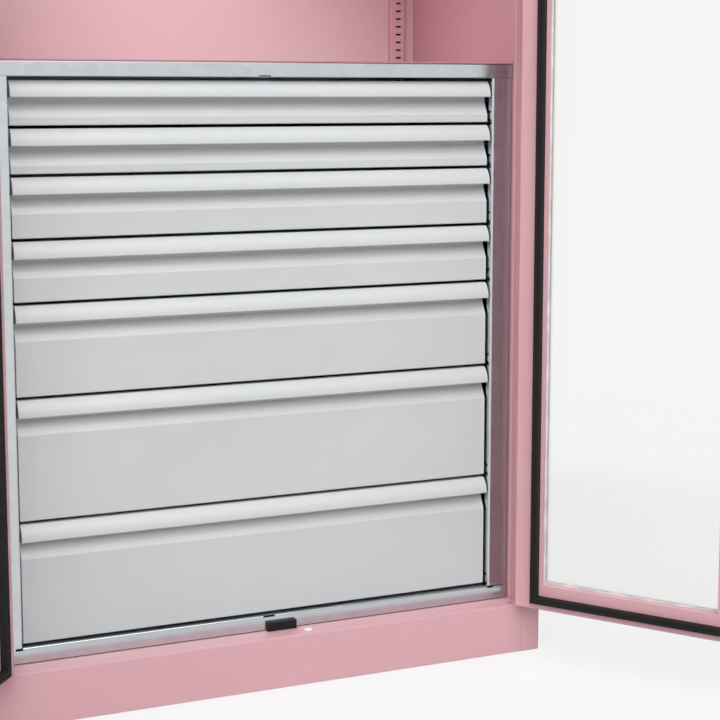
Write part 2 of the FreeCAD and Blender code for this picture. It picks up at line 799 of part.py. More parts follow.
def turn_handle():
    """Hub, oblong grip and spindle in one piece; the grip lies level while unlocked."""
    y_hub_front = y_hub_back - hub_length
    hub = cylinder_y(x_handle, handle_height, y_hub_front, y_hub_back, hub_radius)
    spindle = cylinder_y(x_handle, handle_height, y_hub_back, y_cam_front, spindle_radius)
    x0 = x_handle - grip_length / 2
    z0 = handle_height - grip_width / 2
    grip = box(x0, x0 + grip_length, y_hub_front, y_hub_front + grip_thickness,
               z0, z0 + grip_width)
    corners = [edge for edge in grip.Edges
               if abs(edge.Length - grip_thickness) < tolerance
               and abs(edge.CenterOfMass.y - y_hub_front - grip_thickness / 2) < tolerance]
    grip = grip.makeFillet(grip_width / 2 - grip_end_flat, corners)
    handle = hub.fuse([grip, spindle]).removeSplitter()
    rim = [edge for edge in handle.Edges if abs(edge.CenterOfMass.y - y_hub_front) < tolerance]
    return handle.makeFillet(grip_thickness / 4, rim)


def lock_cam():
    """Disc on the spindle with two drive pins, one for each rod."""
    disc = cylinder_y(x_handle, handle_height, y_cam_front, y_cam_back, cam_radius)
    pins = []
    for side in (-1, 1):
        x = x_handle + side * cam_pin_circle * math.cos(math.radians(handle_turn / 2))
        pins.append(cylinder_y(x, handle_height + side * pin_lift, y_cam_back,
                               y_rod + rod_radius, cam_pin_radius))
    return disc.fuse(pins)


def locking_rod(side):
    """One rod with its slotted drive block: side 1 is the lower rod, -1 the upper."""
    x = x_handle + side * rod_side_offset
    z = handle_height + side * pin_lift
    y0 = y_rod - rod_radius
    y1 = y_rod + rod_radius
    block = box(x - block_width / 2, x + block_width / 2, y0, y1,
                z - block_height / 2, z + block_height / 2)
    if side > 0:
        rod = cylinder(x, y_rod, z_door_bottom + rod_tip_inset, z - block_height / 4, rod_radius)
    else:
        rod = cylinder(x, y_rod, z + block_height / 4, z_door_top - rod_tip_inset, rod_radius)
    reach = cam_pin_radius + block_slot_clearance
    x_near = x_handle + side * pin_lift
    x_far = x_handle + side * cam_pin_circle
    slot = box(min(x_near, x_far) - reach, max(x_near, x_far) + reach, y0 - overcut, y1 + overcut,
               z - reach, z + reach)
    return block.fuse(rod).cut(slot)


def keeper(x, z, step):
    """Plastic bush for a rod's tip, its mouth at z; step (1 or -1) leads away from the door."""
    z_rim = z - step * keeper_flange_thickness
    z_end = z + step * keeper_depth
    z_floor = z_end - step * keeper_end_wall
    z_mouth = z_rim - step
    flange = cylinder(x, y_rod, min(z, z_rim), max(z, z_rim), keeper_flange_radius)
    body = cylinder(x, y_rod, min(z, z_end), max(z, z_end), keeper_body_radius)
    bore = cylinder(x, y_rod, min(z_floor, z_mouth), max(z_floor, z_mouth),
                    keeper_body_radius - keeper_wall)
    return flange.fuse(body).cut(bore)


# ---------------------------------------------------------------- assembly
def opened(shape):
    """A right-door piece turned from closed to its open rest place."""
    turned = shape.copy()
    turned.rotate(Vector(x_pivot, y_pivot, 0), Vector(0, 0, 1), door_open_angle)
    return turned


os.makedirs("parts", exist_ok=True)

save("side_wall_right", side_wall())
save("side_wall_left", mirrored(side_wall()))
save("side_liner_right", side_liner())
save("side_liner_left", mirrored(side_liner()))
save("back_panel", back_panel())
save("base_panel", base_panel())
save("top_panel", top_panel())
save("upright_right", upright())
save("upright_left", mirrored(upright()))
save("shelf_lower", shelf(shelf_slots[0]))
save("shelf_upper", shelf(shelf_slots[1]))
arms = [shelf_arm(number) for number in shelf_slots]
save("shelf_arms", group(arms + [mirrored(arm) for arm in arms]))

save("housing_side_right", housing_side())
save("housing_side_left", mirrored(housing_side()))
save("housing_top_rail", top_rail())
save("housing_bottom_rail", bottom_rail())
save("housing_rear_rails", rear_rails())
save("housing_cover", housing_cover())
save("stop_pad", stop_pad())

fixed_slides = []
for index, (z_low, z_high) in enumerate(drawer_places(), start=1):
    z_slide = z_low + slide_height
    name = "drawer_%d" % index
    save(name + "_front", drawer_front(z_low, z_high))
    save(name + "_box", drawer_box(z_low, z_high))
    save(name + "_middle_slides", group([middle_slide(z_slide), mirrored(middle_slide(z_slide))]))
    fixed_slides.append(fixed_slide(z_slide))
save("fixed_slides", group(fixed_slides + [mirrored(slide) for slide in fixed_slides]))

fixed_right = fixed_knuckles()
save("hinge_knuckles_fixed", group(fixed_right + [mirrored(barrel) for barrel in fixed_right]))
pins_right = hinge_pins()
save("hinge_pins", group(pins_right + [mirrored(pin) for pin in pins_right]))
save("rod_keepers", group([keeper(rod_x, plinth_height, -1),
                           keeper(x_handle - rod_side_offset, z_lintel, 1)]))

right_door = {"door_right_shell": door_shell_with_lock(), "meeting_strip": meeting_strip(),
              "handle_rosette": rosette(), "turn_handle": turn_handle(), "lock_cam": lock_cam(),
              "locking_rod_lower": locking_rod(1), "locking_rod_upper": locking_rod(-1)}
left_door = {"door_left_shell": door_shell()}
both_doors = {"pane": pane(), "gasket": gasket(), "seal": seal(),
              "knuckles": group(moving_knuckles())}
for name, shape in both_doors.items():
    right_door["door_right_" + name] = shape
    left_door["door_left_" + name] = shape
for name, shape in right_door.items():
    save(name, opened(shape))
for name, shape in left_door.items():
    save(name, mirrored(opened(shape)))
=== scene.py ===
"""Finishes, rubber seals, lock details and studio for the two-door tool cabinet."""
import logging
import math
from dataclasses import dataclass, field
from enum import Enum
from typing import Any, Optional, Sequence, Union

import bpy
import numpy as np
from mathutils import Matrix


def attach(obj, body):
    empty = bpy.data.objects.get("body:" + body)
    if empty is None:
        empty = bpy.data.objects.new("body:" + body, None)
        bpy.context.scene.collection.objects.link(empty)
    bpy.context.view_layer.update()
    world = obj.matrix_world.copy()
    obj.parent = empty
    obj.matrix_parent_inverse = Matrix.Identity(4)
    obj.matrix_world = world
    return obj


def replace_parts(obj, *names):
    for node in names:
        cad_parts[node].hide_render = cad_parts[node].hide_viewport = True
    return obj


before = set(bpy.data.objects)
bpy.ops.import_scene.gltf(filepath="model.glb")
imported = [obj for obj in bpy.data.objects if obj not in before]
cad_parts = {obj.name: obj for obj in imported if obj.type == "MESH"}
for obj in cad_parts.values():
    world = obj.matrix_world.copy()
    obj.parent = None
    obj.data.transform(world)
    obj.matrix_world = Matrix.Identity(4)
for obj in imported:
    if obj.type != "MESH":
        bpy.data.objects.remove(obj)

LOG = logging.getLogger("cabinet")
Number = Union[int, float]
Colour = tuple[float, float, float]
DRAWERS = range(1, 8)


class Side(Enum):
    """Left or right of the cabinet, with the sign of its X coordinates."""

    LEFT = -1
    RIGHT = 1

    @property
    def word(self) -> str:
        """The side's name as the nodes use it."""
        return self.name.lower()


class Grain(Enum):
    """Direction in which a sheet was rolled, as the stretch of its streaks along X, Y and Z."""

    ACROSS = (1.0, 14.0, 14.0)
    DEEP = (14.0, 1.0, 14.0)
    UPRIGHT = (14.0, 14.0, 1.0)


# ------------------------------------------------------------------ shader expressions
class Term:
    """A shader socket that can be used in Python expressions."""

    def __init__(self, sheet: "NodeSheet", socket: bpy.types.NodeSocket) -> None:
        """Wraps one output socket of a node sheet."""
        self.sheet = sheet
        self.socket = socket

    def _math(self, operation: str, *values: Union["Term", Number]) -> "Term":
        """Adds one Math node that works on the given values in order."""
        inputs = dict(enumerate(values))
        return self.sheet.add("ShaderNodeMath", {"operation": operation}, inputs)["Value"]

    def __add__(self, other: Union["Term", Number]) -> "Term":
        """self + other."""
        return self._math("ADD", self, other)

    def __radd__(self, other: Number) -> "Term":
        """other + self."""
        return self._math("ADD", other, self)

    def __sub__(self, other: Union["Term", Number]) -> "Term":
        """self - other."""
        return self._math("SUBTRACT", self, other)

    def __rsub__(self, other: Number) -> "Term":
        """other - self."""
        return self._math("SUBTRACT", other, self)

    def __mul__(self, other: Union["Term", Number]) -> "Term":
        """self * other."""
        return self._math("MULTIPLY", self, other)

    def __rmul__(self, other: Number) -> "Term":
        """other * self."""
        return self._math("MULTIPLY", other, self)

    def peak(self, other: Union["Term", Number]) -> "Term":
        """The larger of the two values."""
        return self._math("MAXIMUM", self, other)

    def ramp(self, low: float, high: float) -> "Term":
        """Rises smoothly from 0 at low to 1 at high."""
        node = self.sheet.add(
            "ShaderNodeMapRange",
            {"interpolation_type": "SMOOTHSTEP"},
            {"Value": self, "From Min": low, "From Max": high},
        )
        return node["Result"]


class NodeSheet:
    """The node tree of one material or world, filled through a single method."""

    def __init__(self, tree: bpy.types.NodeTree) -> None:
        """Takes a tree and empties it."""
        self.tree = tree
        self.tree.nodes.clear()

    def add(
        self,
        kind: str,
        settings: Optional[dict[str, Any]] = None,
        inputs: Optional[dict[Union[str, int], Any]] = None,
    ) -> dict[str, Term]:
        """Makes one node.

        Args:
            kind: The node's type name.
            settings: Properties that are set first, such as a Math node's operation.
            inputs: Values or terms for its sockets, by name or by number.

        Returns:
            The node's enabled output sockets by name.
        """
        node = self.tree.nodes.new(kind)
        for name, value in (settings or {}).items():
            setattr(node, name, value)
        for name, value in (inputs or {}).items():
            socket = node.inputs[name]
            if isinstance(value, Term):
                self.tree.links.new(value.socket, socket)
            else:
                socket.default_value = value
        return {out.name: Term(self, out) for out in node.outputs if out.enabled}

    def place(self, stretch: Sequence[float] = (1.0, 1.0, 1.0)) -> Term:
        """Object coordinates in metres, stretched along the axes."""
        source = self.add("ShaderNodeTexCoord")["Object"]
        if tuple(stretch) == (1.0, 1.0, 1.0):
            return source
        return self.add("ShaderNodeMapping", {}, {"Vector": source, "Scale": stretch})["Vector"]

    def noise(self, where: Term, scale: float, detail: float = 2.0, rough: float = 0.5) -> Term:
        """Smooth noise between 0 and 1 with the given number of waves per metre."""
        inputs = {"Vector": where, "Scale": scale, "Detail": detail, "Roughness": rough}
        return self.add("ShaderNodeTexNoise", {}, inputs)["Fac"]

    def blend(self, mask: Term, low: Union[Term, Colour], high: Colour) -> Term:
        """A colour that goes from low to high with the mask."""
        inputs = {0: mask, 6: low if isinstance(low, Term) else (*low, 1.0), 7: (*high, 1.0)}
        return self.add("ShaderNodeMix", {"data_type": "RGBA"}, inputs)["Result"]

    def bump(self, height: Term, depth: float, strength: float = 1.0) -> Term:
        """A surface normal from a height between 0 and 1 and a depth in metres."""
        inputs = {"Height": height, "Distance": depth, "Strength": strength}
        return self.add("ShaderNodeBump", {}, inputs)["Normal"]


def tinted(colour: Colour, factor: float) -> Colour:
    """The colour made lighter or darker by a factor."""
    return (colour[0] * factor, colour[1] * factor, colour[2] * factor)


# ------------------------------------------------------------------ finishes
@dataclass(frozen=True)
class Finish:
    """What every finish has: a name for its material and its main colour (linear)."""

    name: str
    colour: Colour

    def dress(self, sheet: NodeSheet) -> dict[str, Any]:
        """Sockets of the surface shader. Each finish gives its own."""
        raise NotImplementedError

    def material(self) -> bpy.types.Material:
        """Builds the material once and hands out the same one after that."""
        made = bpy.data.materials.get(self.name)
        if made is not None:
            return made
        made = bpy.data.materials.new(self.name)
        made.use_nodes = True
        made.diffuse_color = (*self.colour, 1.0)
        sheet = NodeSheet(made.node_tree)
        shader = sheet.add("ShaderNodeBsdfPrincipled", {}, self.dress(sheet))["BSDF"]
        sheet.add("ShaderNodeOutputMaterial", {}, {"Surface": shader})
        return made


@dataclass(frozen=True)
class PowderCoat(Finish):
    """Stoved powder paint: fine orange peel, faint cloudiness and a soft gloss."""

    roughness: float = 0.42
    shine: float = 0.45
    clouds_per_metre: float = 3.2
    gloss_per_metre: float = 24.0
    peel_per_metre: float = 420.0
    specks_per_metre: float = 2600.0
    peel_depth: float = 0.00005
    cloud: float = 0.02

    def dress(self, sheet: NodeSheet) -> dict[str, Any]:
        """Colour clouds over decimetres, gloss over centimetres, peel over millimetres."""
        where = sheet.place()
        clouds = sheet.noise(where, self.clouds_per_metre, 3.0, 0.55)
        peel = sheet.noise(where, self.peel_per_metre, 2.0, 0.45)
        speck = sheet.noise(where, self.specks_per_metre, 1.0).ramp(0.60, 0.78)
        low = tinted(self.colour, 1.0 - self.cloud)
        high = tinted(self.colour, 1.0 + self.cloud)
        gloss = sheet.noise(where, self.gloss_per_metre, 3.0)
        height = peel + speck * 0.25
        return {
            "Base Color": sheet.blend(clouds.ramp(0.32, 0.68), low, high),
            "Roughness": gloss * 0.10 + (self.roughness - 0.05),
            "Normal": sheet.bump(height, self.peel_depth, 0.55),
            "Specular IOR Level": self.shine,
        }


@dataclass(frozen=True)
class ShadedCoat(PowderCoat):
    """Powder paint of the back panel: paler inside from a painted sheen, with painted shade behind
    both slotted uprights.

    strip_x and strip_top are where an upright covers the panel, face_y is where its front face
    lies and thickness is that of its sheet, all in metres.
    """

    # painted sheen: the paler colour of the panel's inside face
    inner: Colour = (0.62, 0.43, 0.46)
    strip_x: tuple[float, float] = (0.402, 0.430)
    strip_top: float = 1.927
    face_y: float = 0.414
    thickness: float = 0.001
    blur: float = 0.0005
    # painted shade: how dark the panel is painted behind the uprights
    shade: float = 0.05

    def dress(self, sheet: NodeSheet) -> dict[str, Any]:
        """The paint, paler on the front face from a painted sheen, and dark with painted shade
        where the uprights cover it.
        """
        sockets = super().dress(sheet)
        axes = sheet.add("ShaderNodeSeparateXYZ", {}, {"Vector": sheet.place()})
        aside = axes["X"].peak(0 - axes["X"])
        near, far = self.strip_x
        strip = aside.ramp(near - self.blur, near) - aside.ramp(far, far + self.blur)
        inside = 1 - axes["Y"].ramp(self.face_y + 0.3 * self.thickness,
                                    self.face_y + 0.7 * self.thickness)
        below = 1 - axes["Z"].ramp(self.strip_top - self.blur, self.strip_top)
        # painted sheen on the inside face, then painted shade behind the uprights
        pale = sheet.blend(inside, sockets["Base Color"], self.inner)
        dark = tinted(self.colour, self.shade)
        sockets["Base Color"] = sheet.blend(strip * inside * below, pale, dark)
        return sockets


@dataclass(frozen=True)
class Galvanised(Finish):
    """Zinc-coated sheet: faint crystals, rolling streaks and a satin mirror."""

    grain: Grain = Grain.UPRIGHT
    roughness: float = 0.24
    crystals_per_metre: float = 60.0
    streaks_per_metre: float = 90.0
    streak_depth: float = 0.00002

    def dress(self, sheet: NodeSheet) -> dict[str, Any]:
        """Crystals from Voronoi cells, streaks from noise stretched along the rolling."""
        where = sheet.place()
        inputs = {"Vector": where, "Scale": self.crystals_per_metre, "Randomness": 1.0}
        cells = sheet.add("ShaderNodeTexVoronoi", {"feature": "F1"}, inputs)["Color"]
        crystal = sheet.add("ShaderNodeSeparateColor", {}, {"Color": cells})["Red"]
        streak = sheet.noise(sheet.place(self.grain.value), self.streaks_per_metre, 3.0, 0.6)
        shade = crystal * 0.45 + streak * 0.55
        low = tinted(self.colour, 0.94)
        high = tinted(self.colour, 1.05)
        return {
            "Base Color": sheet.blend(shade, low, high),
            "Metallic": 1.0,
            "Roughness": shade * 0.12 + (self.roughness - 0.06),
            "Normal": sheet.bump(streak, self.streak_depth, 0.35),
        }


@dataclass(frozen=True)
class Zoned(Finish):
    """Another finish with a band of painted shade: its colour changes to shade_colour between two
    planes across one axis, in metres.
    """

    base: Finish
    axis: str
    span: tuple[float, float]
    shade_colour: Colour
    blur: float = 0.0002

    def dress(self, sheet: NodeSheet) -> dict[str, Any]:
        """The other finish with its band of painted shade."""
        sockets = self.base.dress(sheet)
        along = sheet.add("ShaderNodeSeparateXYZ", {}, {"Vector": sheet.place()})[self.axis]
        low, high = self.span
        zone = along.ramp(low - self.blur, low) - along.ramp(high, high + self.blur)
        # painted shade inside the band
        sockets["Base Color"] = sheet.blend(zone, sockets["Base Color"], self.shade_colour)
        return sockets


@dataclass(frozen=True)
class Rubber(Finish):
    """Matt extruded rubber with a little bloom."""

    roughness: float = 0.62
    sheen: float = 0.22
    bloom_per_metre: float = 35.0
    pebbles_per_metre: float = 1500.0
    pebble_depth: float = 0.00004

    def dress(self, sheet: NodeSheet) -> dict[str, Any]:
        """Bloom over centimetres and a fine pebble."""
        where = sheet.place()
        bloom = sheet.noise(where, self.bloom_per_metre, 3.0).ramp(0.35, 0.75)
        pebble = sheet.noise(where, self.pebbles_per_metre, 2.0)
        high = tinted(self.colour, 1.3)
        return {
            "Base Color": sheet.blend(bloom, self.colour, high),
            "Roughness": bloom * 0.12 + (self.roughness - 0.06),
            "Normal": sheet.bump(pebble, self.pebble_depth, 0.5),
            "Specular IOR Level": self.sheen,
        }


@dataclass(frozen=True)
class Moulded(Finish):
    """Injection-moulded plastic with a spark-eroded texture."""

    roughness: float = 0.48
    gloss_per_metre: float = 60.0
    texture_per_metre: float = 1800.0
    texture_depth: float = 0.00004

    def dress(self, sheet: NodeSheet) -> dict[str, Any]:
        """A fine even texture and slightly uneven gloss."""
        where = sheet.place()
        texture = sheet.noise(where, self.texture_per_metre, 2.0)
        gloss = sheet.noise(where, self.gloss_per_metre, 2.0)
        return {
            "Base Color": sheet.blend(gloss, tinted(self.colour, 0.95), tinted(self.colour, 1.05)),
            "Roughness": gloss * 0.10 + (self.roughness - 0.05),
            "Normal": sheet.bump(texture, self.texture_depth, 0.5),
        }


@dataclass(frozen=True)
class Pane(Finish):
    """Clear safety glass. Most light goes straight through, the rest is bent and mirrored."""

    body: float = 0.22
    smears_per_metre: float = 9.0

    def dress(self, sheet: NodeSheet) -> dict[str, Any]:
        """A clear body whose polish is very slightly uneven."""
        smear = sheet.noise(sheet.place(), self.smears_per_metre, 3.0)
        return {
            "Base Color": (*self.colour, 1.0),
            "Roughness": smear * 0.02 + 0.01,
            "Transmission Weight": 1.0,
            "IOR": 1.46,
            "Alpha": self.body,
        }


ROSE = PowderCoat("rose_powder_coat", (0.60, 0.340, 0.377))
# back panel paint with a painted sheen inside and painted shade behind the uprights
ROSE_SHADED = ShadedCoat("rose_powder_coat_back", ROSE.colour)
ROSE_TOP = PowderCoat("rose_powder_coat_top", ROSE.colour, roughness=0.60, shine=0.25)
# painted shade on the cover plate's front edge
ROSE_COVER = Zoned("rose_powder_coat_cover", ROSE.colour, ROSE, axis="Y",
                   span=(0.0, 0.0016), shade_colour=(0.36, 0.19, 0.215))
PALE_GREY = PowderCoat("pale_grey_powder_coat", (0.508, 0.524, 0.534), roughness=0.36)
ZINC_UPRIGHT = Galvanised("zinc_sheet_upright", (0.58, 0.615, 0.635), roughness=0.18)
ZINC_ACROSS = Galvanised("zinc_sheet_across", (0.53, 0.57, 0.59), Grain.ACROSS, roughness=0.20)
ZINC_DEEP = Galvanised("zinc_sheet_deep", (0.47, 0.50, 0.52), Grain.DEEP, roughness=0.44)
# painted shade on the top rail's upper bend under the cover, tinted pink as a painted reflection
# of the cover
ZINC_TOP = Zoned("zinc_sheet_top_rail", ZINC_ACROSS.colour, ZINC_ACROSS, axis="Z",
                 span=(1.0402, 1.043), shade_colour=(0.22, 0.15, 0.165))
# painted shade: a dark red line at the bottom rail's foot, where it meets the ledge
ZINC_FOOT = Zoned("zinc_sheet_foot", ZINC_ACROSS.colour, ZINC_ACROSS, axis="Z",
                  span=(0.087, 0.0895), shade_colour=(0.11, 0.035, 0.042))
# painted shade on the bottom rail's top bend, dimming its highlight
ZINC_BOTTOM = Zoned("zinc_sheet_bottom_rail", ZINC_ACROSS.colour, ZINC_FOOT, axis="Z",
                    span=(0.1122, 0.116), shade_colour=(0.34, 0.365, 0.38))
PLATED = Galvanised("zinc_plated_steel", (0.60, 0.61, 0.63), roughness=0.30)
BLACK_RUBBER = Rubber("black_rubber", (0.0110, 0.0102, 0.0102), sheen=0.14)
CLEAR_RUBBER = Rubber("pale_glazing_rubber", (0.56, 0.55, 0.55), roughness=0.45, sheen=0.4)
WHITE_NYLON = Moulded("white_nylon", (0.88, 0.87, 0.86))
BLACK_PLASTIC = Moulded("black_plastic", (0.020, 0.020, 0.021))
SAFETY_GLASS = Pane("safety_glass", (0.60, 0.61, 0.605))


def dress_nodes(finish: Finish, *names: str) -> None:
    """Gives CAD nodes a finish through their objects' material slots."""
    for name in names:
        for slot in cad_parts[name].material_slots:
            slot.material = finish.material()


# ------------------------------------------------------------------ surfaces
def rounded_outline(corners: Sequence[tuple[float, float]], radii: Sequence[float],
                    steps: int = 7) -> np.ndarray:
    """A closed outline whose corners are turned into arcs.

    Each corner is cut back by r tan(turn / 2) along both of its sides, and the points between
    the cuts lie on the circle of radius r that touches both sides.

    Args:
        corners: The outline's corners in order.
        radii: One radius per corner; 0 keeps a sharp corner.
        steps: Points on each arc.

    Returns:
        An array of points (n, 2).
    """
    points = np.asarray(corners, float)
    before = np.roll(points, 1, axis=0) - points
    after = np.roll(points, -1, axis=0) - points
    before /= np.linalg.norm(before, axis=1, keepdims=True)
    after /= np.linalg.norm(after, axis=1, keepdims=True)
    inner = np.arccos(np.clip((before * after).sum(axis=1), -1.0, 1.0))
    radius = np.maximum(np.asarray(radii, float), 1e-7)
    half_turn = (math.pi - inner) / 2
    bisector = before + after
    bisector /= np.linalg.norm(bisector, axis=1, keepdims=True)
    centre = points + bisector * (radius / np.cos(half_turn))[:, None]
    sweep = np.linspace(-1.0, 1.0, steps)[None, :] * half_turn[:, None]
    tangent = np.stack([-bisector[:, 1], bisector[:, 0]], axis=1)
    sense = np.sign((tangent * after).sum(axis=1))[:, None, None]
    arc = (-np.cos(sweep)[:, :, None] * bisector[:, None, :]
           + sense * np.sin(sweep)[:, :, None] * tangent[:, None, :])
    return (centre[:, None, :] + radius[:, None, None] * arc).reshape(-1, 2)


def grid_faces(rows: int, columns: int, closed_rows: bool, closed_columns: bool) -> np.ndarray:
    """Quads between neighbours of a grid of points, as an array of vertex numbers (n, 4)."""
    i = np.arange(rows if closed_rows else rows - 1)[:, None]
    j = np.arange(columns if closed_columns else columns - 1)[None, :]
    i2 = (i + 1) % rows
    j2 = (j + 1) % columns
    quads = [i * columns + j, i * columns + j2, i2 * columns + j2, i2 * columns + j]
    return np.stack([np.broadcast_to(q, (i.size, j.size)) for q in quads], axis=-1).reshape(-1, 4)


def full_turn(steps: int) -> np.ndarray:
    """Angles of evenly spaced points round a circle."""
    return np.arange(steps) * (2 * math.pi / steps)


def lathe(profile: np.ndarray, steps: int = 48) -> tuple[np.ndarray, list[list[int]]]:
    """A body of revolution about the Y axis, closed by a point at each end.

    A profile point (radius, y) at the angle a becomes (radius cos a, y, radius sin a).

    Args:
        profile: Points (n, 2) as radius and y; the first and the last lie on the axis.
        steps: Points round the axis.

    Returns:
        The vertices and the faces.
    """
    angle = full_turn(steps)
    radius = profile[1:-1, :1]
    y = np.broadcast_to(profile[1:-1, 1:], (len(radius), steps))
    ring = np.stack([radius * np.cos(angle), y, radius * np.sin(angle)], axis=-1)
    return capped(ring, np.array([0.0, profile[0, 1], 0.0]), np.array([0.0, profile[-1, 1], 0.0]))


def capped(rings: np.ndarray, first: np.ndarray, last: np.ndarray
           ) -> tuple[np.ndarray, list[list[int]]]:
    """Joins rings of points to a closed body whose two ends are drawn to a point.

    Args:
        rings: Points (rings, steps, 3).
        first: The point that closes the first ring.
        last: The point that closes the last ring.

    Returns:
        The vertices and the faces.
    """
    count, steps = rings.shape[:2]
    total = count * steps
    here = np.arange(steps)
    ahead = (here + 1) % steps
    faces = grid_faces(count, steps, False, True).tolist()
    faces += np.stack([ahead, here, np.full(steps, total)], axis=1).tolist()
    end = (count - 1) * steps
    faces += np.stack([end + here, end + ahead, np.full(steps, total + 1)], axis=1).tolist()
    return np.vstack([rings.reshape(-1, 3), first, last]), faces


def joined(*bodies: tuple[np.ndarray, list[list[int]]]) -> tuple[np.ndarray, list[list[int]]]:
    """Several bodies as one list of vertices and one of faces."""
    points = []
    faces = []
    start = 0
    for body_points, body_faces in bodies:
        points.append(body_points)
        faces += [[start + number for number in face] for face in body_faces]
        start += len(body_points)
    return np.vstack(points), faces


def make_piece(name: str, points: np.ndarray, faces: Sequence[Sequence[int]], finish: Finish,
               body: str, sharp_degrees: float = 35.0) -> bpy.types.Object:
    """Turns points and faces into a piece that rides on a body.

    Args:
        name: The piece's name.
        points: Vertices (n, 3) in metres at their final place.
        faces: Vertex numbers of each face.
        finish: The piece's finish.
        body: The body it rides on.
        sharp_degrees: Edges that turn more than this stay sharp.

    Returns:
        The new object.
    """
    mesh = bpy.data.meshes.new(name)
    mesh.from_pydata(points.tolist(), [], [list(face) for face in faces])
    mesh.update()
    mesh.polygons.foreach_set("use_smooth", np.ones(len(mesh.polygons), bool))
    mesh.set_sharp_from_angle(angle=math.radians(sharp_degrees))
    mesh.materials.append(finish.material())
    piece = bpy.data.objects.new(name, mesh)
    bpy.context.scene.collection.objects.link(piece)
    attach(piece, body)
    LOG.info("%s: %d faces on %s", name, len(mesh.polygons), body)
    return piece


# ------------------------------------------------------------------ the cabinet
@dataclass
class Carcass:
    """Walls, plinth, roof, uprights and shelves in powder-coated sheet."""

    nodes: tuple[str, ...] = (
        "side_wall_right", "side_wall_left", "side_liner_right", "side_liner_left",
        "base_panel", "upright_right", "upright_left",
        "shelf_lower", "shelf_upper", "shelf_arms", "hinge_knuckles_fixed",
    )

    def build(self) -> None:
        """Dresses the sheet parts and the small parts that are fixed to them."""
        dress_nodes(ROSE, *self.nodes)
        # the back panel gets painted sheen and painted shade
        dress_nodes(ROSE_SHADED, "back_panel")
        dress_nodes(ROSE_TOP, "top_panel")
        # the cover plate's front edge carries painted shade
        dress_nodes(ROSE_COVER, "housing_cover")
        dress_nodes(WHITE_NYLON, "rod_keepers")
        dress_nodes(PLATED, "hinge_pins")
        LOG.info("carcass: %d sheet parts", len(self.nodes))


@dataclass
class DrawerHousing:
    """Galvanised housing with its rails, side profiles and fixed slides."""

    def build(self) -> None:
        """Dresses the sheets with their rolling direction and the buffer with rubber."""
        dress_nodes(ZINC_UPRIGHT, "housing_side_right", "housing_side_left")
        dress_nodes(ZINC_ACROSS, "housing_rear_rails")
        # the top rail's upper bend carries painted shade
        dress_nodes(ZINC_TOP, "housing_top_rail")
        # the bottom rail carries painted shade at its top bend and its foot
        dress_nodes(ZINC_BOTTOM, "housing_bottom_rail")
        dress_nodes(ZINC_DEEP, "fixed_slides")
        dress_nodes(BLACK_RUBBER, "stop_pad")
        LOG.info("drawer housing dressed")


@dataclass
class Drawer:
    """One drawer: painted front, galvanised box and its middle slide members."""

    number: int

    def build(self) -> None:
        """Dresses the drawer's nodes."""
        name = f"drawer_{self.number}"
        dress_nodes(PALE_GREY, f"{name}_front")
        dress_nodes(ZINC_DEEP, f"{name}_box", f"{name}_middle_slides")
        LOG.info("%s dressed", name)


